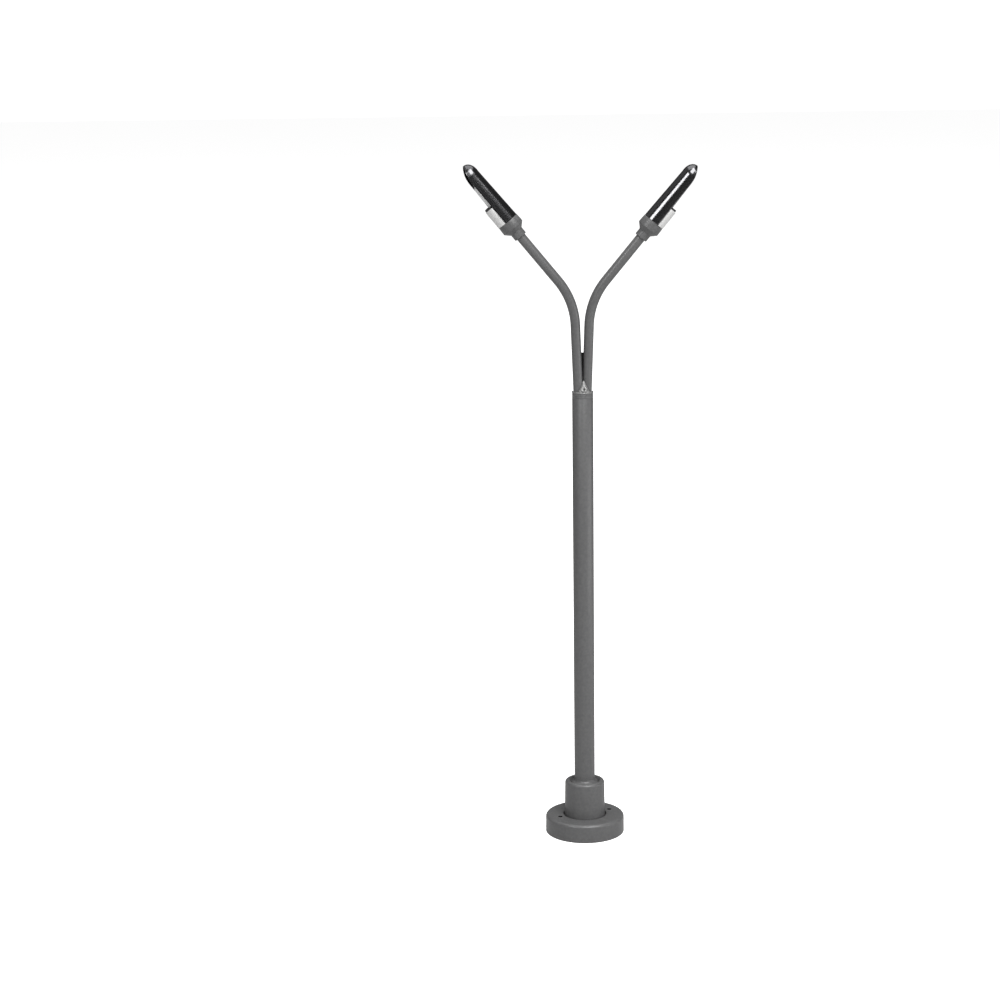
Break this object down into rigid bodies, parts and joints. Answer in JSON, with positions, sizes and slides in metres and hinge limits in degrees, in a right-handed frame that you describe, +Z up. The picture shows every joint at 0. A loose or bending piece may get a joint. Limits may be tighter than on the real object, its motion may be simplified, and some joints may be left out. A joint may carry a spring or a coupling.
{
  "type": "model double-arm street lamp",
  "caption": "H0 scale model street lamp with two whip arms: plug-in foot, tubular mast and pull-out lamp units in turning sockets.",
  "frame": {"origin": "centre of the foot's flat underside, on the mast's axis", "axes": "+Z up along the mast; +X towards the right arm; the arms lie in the XZ plane; the viewer's side is -Y"},
  "size_m": [0.038, 0.0134, 0.1137],
  "materials": {
    "grey_paint": "matt mid grey paint",
    "brass": "plain turned or drawn brass",
    "black_plastic": "black insulating plastic",
    "white_plastic": "white moulded plastic",
    "black_chrome": "dark, mirror-like plating",
    "solder": "bright tin solder",
    "glass": "slightly cloudy bulb glass",
    "tungsten": "dull wire",
    "enamelled_wire": "lacquered copper wire"
  },
  "bodies": {
    "foot": {"base_flange": "grey_paint", "base_plate": "black_plastic", "live_solder_tag": "brass", "return_solder_tag": "brass", "contact_ring": "brass", "centre_contact": "brass", "contact_bush": "black_plastic"},
    "collar": {"foot_collar": "grey_paint", "collar_liner": "brass"},
    "mast": {"mast_tube": "grey_paint", "mast_ferrule": "grey_paint", "plug_insulator": "black_plastic", "centre_pin": "brass", "left_arm_tube": "grey_paint", "right_arm_tube": "grey_paint", "left_live_lead": "enamelled_wire", "right_live_lead": "enamelled_wire", "solder_joint": "solder"},
    "left_head": {"left_socket": "grey_paint", "left_contact_carrier": "black_plastic", "left_centre_sleeve": "brass"},
    "right_head": {"right_socket": "grey_paint", "right_contact_carrier": "black_plastic", "right_centre_sleeve": "brass"},
    "left_lamp": {"left_shade": "black_chrome", "left_bulb_holder": "white_plastic", "left_washer": "black_plastic", "left_bulb_glass": "glass", "left_filament": "tungsten", "left_lamp_pin": "brass", "left_return_clip": "brass"},
    "right_lamp": {"right_shade": "black_chrome", "right_bulb_holder": "white_plastic", "right_washer": "black_plastic", "right_bulb_glass": "glass", "right_filament": "tungsten", "right_lamp_pin": "brass", "right_return_clip": "brass"}
  },
  "joints": [
    {"name": "foot_turn", "type": "hinge", "parent": "foot", "child": "collar", "pos_m": [0, 0, 0.002], "axis": [0, 0, 1], "continuous": true},
    {"name": "mast_lift", "type": "slide", "parent": "collar", "child": "mast", "axis": [0, 0, 1], "range_m": [0, 0.006]},
    {"name": "left_head_turn", "type": "hinge", "parent": "mast", "child": "left_head", "pos_m": [-0.01204, 0, 0.10454], "axis": [-0.6361, 0, 0.7716], "range_deg": [-90, 90]},
    {"name": "right_head_turn", "type": "hinge", "parent": "mast", "child": "right_head", "pos_m": [0.0117, 0, 0.10414], "axis": [0.6361, 0, 0.7716], "range_deg": [-90, 90]},
    {"name": "left_lamp_pull", "type": "slide", "parent": "left_head", "child": "left_lamp", "axis": [-0.6361, 0, 0.7716], "range_m": [0, 0.0011]},
    {"name": "right_lamp_pull", "type": "slide", "parent": "right_head", "child": "right_lamp", "axis": [0.6361, 0, 0.7716], "range_m": [0, 0.0011]}
  ]
}
